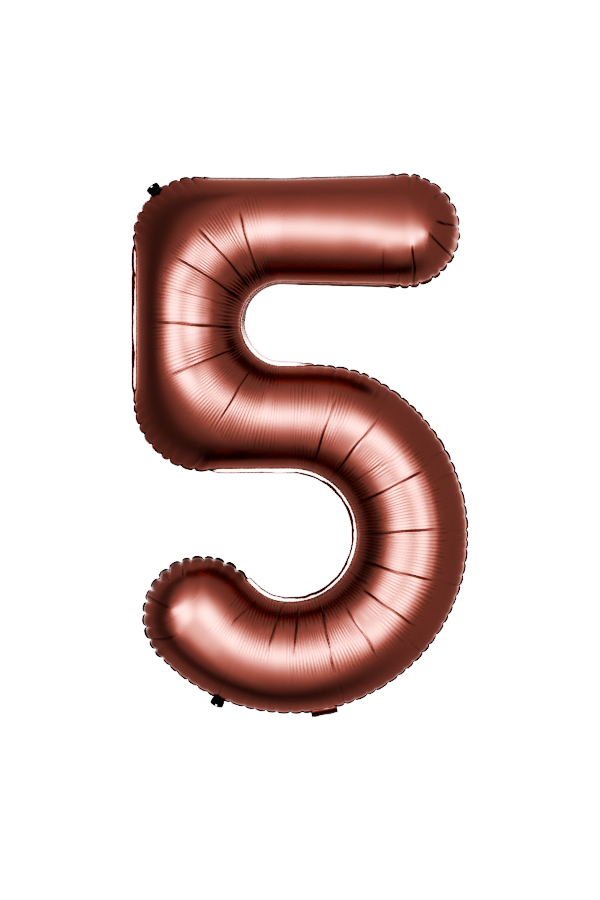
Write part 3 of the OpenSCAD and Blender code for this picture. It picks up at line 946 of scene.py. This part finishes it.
def hang_tab(name, base_node, ear_node, place, deg, seed):
    """A tab whose base is welded on the seam at place, pointing outward along deg."""
    rng = np.random.default_rng(seed)
    out, side = ray(deg), ray(deg - 90)
    hole = np.array([0, FOLD_GAP + TAB_HOLE_OUT])
    angle = (np.arange(TAB_POINTS) + 0.5) * 2 * np.pi / TAB_POINTS
    d = np.stack([np.cos(angle), np.sin(angle)], 1)
    edge = tab_outline(TAB_WELD_INSET - SEAM_W, FOLD_GAP + TAB_LEN, hole, d)
    rings = np.concatenate([[0, 0.08], np.linspace(0.16, 0.96, 9), [1.0]])[None]
    hole_edge = d * TAB_HOLE_R
    plan = hole + hole_edge[:, None] + (edge - hole_edge)[:, None] * rings[..., None]
    u, v = plan[..., 0], plan[..., 1]
    lie = mix(-TAB_ON_FLANGE, 0.0, smooth((v + 1.0 * MM) / (2.6 * MM)))
    bent = TAB_CURL * np.sin(u / (4.2 * MM) + rng.uniform(0, 6)) * smooth(v / (9 * MM)) * (rings > 0.3)
    bead = TAB_BEAD * window(np.hypot(u, v - hole[1]), *TAB_BEAD_R, 0.5 * MM)
    half = TAB_HALF_T * np.clip(1 - (rings > 0.99) * 0.45, 0, 1) + bead
    past = np.maximum(0, v - TAB_TURN_FROM)
    v = v - (1 - TAB_END_TURN[0]) * past
    y = lie + bent + TAB_END_TURN[1] * past
    plan = place + side * u[..., None] + out * v[..., None]
    piece = shell(name, at_depth(plan, y - half), at_depth(plan, y + half), tab_film)
    start, end = (tuple(at_depth(place + out * v, 0) + OFFSET) for v in TAB_FOLD)
    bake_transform(piece)
    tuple(start)
    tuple(end)
    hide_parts(base_node, ear_node)


top_place = TOP_CORNER + TOP_CORNER_R * ray(TOP_TAB_ANGLE)
bottom_place = BOWL_OUTER_R * ray(-BOTTOM_TAB_ANGLE)
hang_tab("top_hang_tab", "top_tab_base", "top_tab_ear", top_place, TOP_TAB_ANGLE, 41)
hang_tab(
    "bottom_hang_tab", "bottom_tab_base", "bottom_tab_ear", bottom_place, -BOTTOM_TAB_ANGLE, 42
)

# --- Neck and tail with the valve inside: flat sleeves that share one curl ---
NECK_START = -7 * MM
NECK_SPREAD = 3 * MM
NECK_PUFF = 0.6 * MM
NECK_MOUTH = 2.5 * MM  # how much further apart the neck's films stand where they leave the balloon
MOUTH_FROM, MOUTH_DECAY = -3 * MM, 2.5 * MM
CURL = (33, 100)  # lean of the neck where its curl starts and ends
CURL_LEN = 16 * MM
CURL_EASE = 6 * MM
TAIL_STRAIGHT = 29 * MM
TAIL_END = CURL_LEN + TAIL_STRAIGHT
VALVE_PUFF = 0.1 * MM
VALVE_SPAN = (-90 * MM, 1 * MM)
VALVE_END_SPAN = (19.5 * MM, TAIL_END - 4 * MM)  # between the two, inside the bend, no valve is drawn
STRIP_END = 0.5 * MM
RIPPLE = 0.3 * MM
RIPPLE_CELL = (5 * MM, 7 * MM)
RIPPLE_FROM = -95 * MM
RIPPLE_RISE = 12 * MM
SLEEVE_ROW = 0.5 * MM
SLEEVE_COLUMNS = 41
SLEEVE_GAP = 0.08 * MM  # least distance of each film from the sleeve's middle
# Two points on the neck, each outward from the seam and behind it; they are worked out but not used
BEND = ((2 * MM, 4.5 * MM), (6.5 * MM, 18 * MM))
ripples = np.random.default_rng(51).standard_normal((30, 9))


def curl(run):
    """Distance outward from the seam, depth behind it and lean, at each length along the neck."""
    fine = np.linspace(min(run[0], NECK_START), run[-1], 800)
    turned = mix(*CURL, np.clip((fine + 1 * MM) / CURL_LEN, 0, 1))
    lean = np.radians(turned * smooth((fine - NECK_START) / CURL_EASE))
    step = fine[1] - fine[0]
    out, back = np.cumsum(np.cos(lean)) * step, np.cumsum(np.sin(lean)) * step
    out += fine[0] - out[0]
    return [np.interp(run, fine, v) for v in (out, back - back[0], lean)]


def ripple_at(run, across):
    """Shared waviness of the films that lie in the neck, so that they stay nested."""
    r = np.clip((run - RIPPLE_FROM) / RIPPLE_CELL[0], 0, ripples.shape[0] - 1.001)
    c = np.clip(across / RIPPLE_CELL[1] + ripples.shape[1] // 2, 0, ripples.shape[1] - 1.001)
    i, j = r.astype(int), c.astype(int)
    r, c = smooth(r - i), smooth(c - j)
    near, far = mix(ripples[i, j], ripples[i, j + 1], c), mix(ripples[i + 1, j], ripples[i + 1, j + 1], c)
    return RIPPLE * mix(near, far, r)


def sleeve(name, span, width, puff, mouth, finish, replaced, body=None):
    """Two films joined at both sides over a span of the neck; attached to the body where one is given."""
    start, end = span
    seam = BOWL_OUTER_R * ray(-NECK_ANGLE)
    out, side = ray(-NECK_ANGLE), ray(-NECK_ANGLE - 90)
    run = np.linspace(start, end, round((end - start) / SLEEVE_ROW) + 1)
    outward_run, depth, lean = (v[:, None] for v in curl(run))
    u = np.linspace(-1, 1, SLEEVE_COLUMNS)
    left = np.clip((end - run) / (width / 2), 0, 1)
    half = (width / 2 * (1 - (1 - left) ** 2 * 0.96) ** 0.25)[:, None]
    run = run[:, None]
    arch = np.clip(1 - u**2, 0, 1) ** 0.5
    ripple = ripple_at(run, half * u) * smooth(run / RIPPLE_RISE)
    loose = puff * (1 + 0.7 * smooth((run - 12 * MM) / (25 * MM))) * arch
    open_by = mouth * np.exp(-np.maximum(0, run - MOUTH_FROM) / MOUTH_DECAY) * arch
    layers = []
    for face in (1, -1):
        shift = ripple + face * (loose + SLEEVE_GAP)
        plan = seam + out * (outward_run + np.sin(lean) * shift)[..., None] + side * (half * u)[..., None]
        layers.append(at_depth(plan, depth - np.cos(lean) * shift - face * open_by))
    # painted shade at the sleeve's side edges and at its root where it leaves the balloon
    edge = 0.8 * smooth((np.abs(u) - 0.90) / 0.06)
    edge = np.maximum(edge, 0.6 * (1 - smooth((run - 3 * MM) / (12 * MM))))
    piece = shell(name, *layers, finish, [("fold", edge, edge)], closed=False)
    if body:
        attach(piece, body)
    else:
        bend_start, bend_end = (tuple(at_depth(seam + out * v, y) + OFFSET) for v, y in BEND)
        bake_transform(piece)
        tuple(bend_start)
        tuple(bend_end)
    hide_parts(*replaced)


neck_nodes = ("neck_front_ply", "neck_back_ply", "tail_front_ply", "tail_back_ply", "tail_side_welds")
valve_nodes = ("valve_front_film", "valve_back_film", "valve_side_welds")
end_nodes = ("tail_valve_front_film", "tail_valve_back_film")
neck_span, neck_width = (NECK_START, TAIL_END), NECK_W + NECK_SPREAD
strip_span, strip_nodes = (STRIP_END - RELEASE_LEN, STRIP_END), ("valve_release_strip",)
sleeve("neck_and_tail", neck_span, neck_width, NECK_PUFF, NECK_MOUTH, foil, neck_nodes)
sleeve("valve", VALVE_SPAN, VALVE_W, VALVE_PUFF, 0, milky_film, valve_nodes, "balloon")
sleeve("valve_end", VALVE_END_SPAN, VALVE_W, VALVE_PUFF, 0, milky_film, end_nodes, "tail")
sleeve("release_strip", strip_span, RELEASE_W, 0, 0, release_coat, strip_nodes, "balloon")

# --- Studio: world light by azimuth, 0 ahead of the object, and height in degrees; floor and camera ---
STRIP_HEIGHT, STRIP_HALF, STRIP_POWER = 1.5, 10.6, 2.4  # a bright band round the horizon
FRONT_RISE, FRONT_FALL, FRONT_LIGHT = (-54, -36), (12, 50), 5.6
BARS_PERIOD, BARS_PHASE, BARS_DEPTH = 36, -0.2, 0.75  # the front light is broken into soft bars
BACK_LIGHTS = ((128, 165, 1.3), (156, 174, 3.2))
AMBIENT_HEIGHT, AMBIENT_LIGHT = (-92, -40), (0.07, 0.28)
DARK_RISE, DARK_FALL, DARK_SHARE = (-128, -92), (-78, -64), 0.62  # the ambient light's dark left side
SECOND_BOUNCE = 0.16  # share of the light that is left in a reflection of a reflection
GROUND_LIGHT = 3.2  # as the camera sees it
FLOOR_R, FLOOR_DROP = 1.7, 0.54
FLOOR_AHEAD = 0.3
LAMP_SIZE, LAMP_POWER, LAMP_ABOVE = 3.0, 140, 2.2
CAMERA_AT = (0.2369, -0.4198)  # x and z
CAMERA_DISTANCE = 4.5
VIEW_HEIGHT = 1.429  # what the picture's long side spans at the object


def studio():
    world = bpy.data.worlds.new("studio")
    bpy.context.scene.world = world
    world.use_nodes = True
    tree = world.node_tree
    tree.nodes.clear()
    direction = node(tree, "ShaderNodeTexCoord").outputs["Generated"]
    parts = node(tree, "ShaderNodeSeparateXYZ", [(0, direction)])
    x, y, z = (parts.outputs[k] for k in "XYZ")

    def calc(operation, a, b=0.0, c=0.0):
        n = node(tree, "ShaderNodeMath", operation=operation)
        for k, value in enumerate((a, b, c)):
            if isinstance(value, (int, float)):
                n.inputs[k].default_value = value
            else:
                tree.links.new(value, n.inputs[k])
        return n.outputs[0]

    def product(first, *others):
        for other in others:
            first = calc("MULTIPLY", first, other)
        return first

    def step(value, lo, hi, bottom=0.0, top=1.0):
        smoothed = dict(interpolation_type="SMOOTHSTEP", From_Min=lo, From_Max=hi, To_Min=bottom, To_Max=top)
        return node(tree, "ShaderNodeMapRange", [("Value", value)], **smoothed).outputs["Result"]

    azimuth = calc("DEGREES", calc("ARCTAN2", x, calc("MULTIPLY", y, -1.0)))
    height = calc("DEGREES", calc("ARCSINE", z))
    level = calc("DIVIDE", calc("ABSOLUTE", calc("SUBTRACT", height, STRIP_HEIGHT)), STRIP_HALF)
    strip = calc("DIVIDE", 1.0, calc("ADD", 1.0, calc("POWER", level, STRIP_POWER)))
    front = product(step(azimuth, *FRONT_RISE), step(azimuth, *FRONT_FALL, 1.0, 0.0))
    bars = calc("SINE", calc("MULTIPLY_ADD", azimuth, 2 * math.pi / BARS_PERIOD, BARS_PHASE))
    bars = calc("ADD", 1.0, calc("MULTIPLY", bars, BARS_DEPTH))
    front = product(front, bars, strip, FRONT_LIGHT)
    turned = calc("ABSOLUTE", azimuth)
    back = calc("ADD", *(step(turned, lo, hi, 0.0, top) for lo, hi, top in BACK_LIGHTS))
    back = product(back, strip)
    left = product(step(azimuth, *DARK_RISE), step(azimuth, *DARK_FALL, 1.0, 0.0), DARK_SHARE)
    ambient = product(step(height, *AMBIENT_HEIGHT, *AMBIENT_LIGHT), calc("SUBTRACT", 1.0, left))
    light = calc("ADD", calc("ADD", front, back), ambient)
    path = node(tree, "ShaderNodeLightPath")
    seen = path.outputs["Is Camera Ray"]
    light = product(light, step(path.outputs["Glossy Depth"], 1.2, 1.8, 1.0, SECOND_BOUNCE))
    strength = calc("ADD", product(light, calc("SUBTRACT", 1.0, seen)), product(seen, GROUND_LIGHT))
    shader = node(tree, "ShaderNodeBackground", [("Strength", strength)], Color=(1, 1, 1, 1))
    tree.links.new(shader.outputs[0], node(tree, "ShaderNodeOutputWorld").inputs["Surface"])


def floor():
    lo, hi = cad_box
    mesh = bpy.data.meshes.new("floor")
    angle = np.linspace(0, 2 * np.pi, 96, endpoint=False)
    centre = np.array([(lo[0] + hi[0]) / 2, -FLOOR_AHEAD, lo[2] - FLOOR_DROP])
    rim = [tuple(centre + FLOOR_R * np.array([math.cos(a), math.sin(a), 0])) for a in angle]
    mesh.from_pydata(rim, [], [list(range(len(rim)))])
    mesh.materials.append(material("floor", (0.86, 0.86, 0.86), Roughness=0.9)[0])
    disc = in_scene("floor", mesh)
    disc.visible_glossy = False
    lamp = bpy.data.lights.new("overhead", "AREA")
    lamp.size, lamp.energy = LAMP_SIZE, LAMP_POWER
    overhead = in_scene("overhead", lamp, (centre[0], centre[1], hi[2] + LAMP_ABOVE))
    overhead.visible_glossy = False


def camera():
    data = bpy.data.cameras.new("camera")
    data.lens = data.sensor_width * CAMERA_DISTANCE / VIEW_HEIGHT
    cam = in_scene("camera", data, (CAMERA_AT[0], -CAMERA_DISTANCE, CAMERA_AT[1]))
    cam.rotation_euler = (math.pi / 2, 0, 0)
    bpy.context.scene.camera = cam


studio()
floor()
camera()
bpy.context.scene.view_settings.view_transform = "AgX"
bpy.context.scene.view_settings.look = "AgX - Very High Contrast"
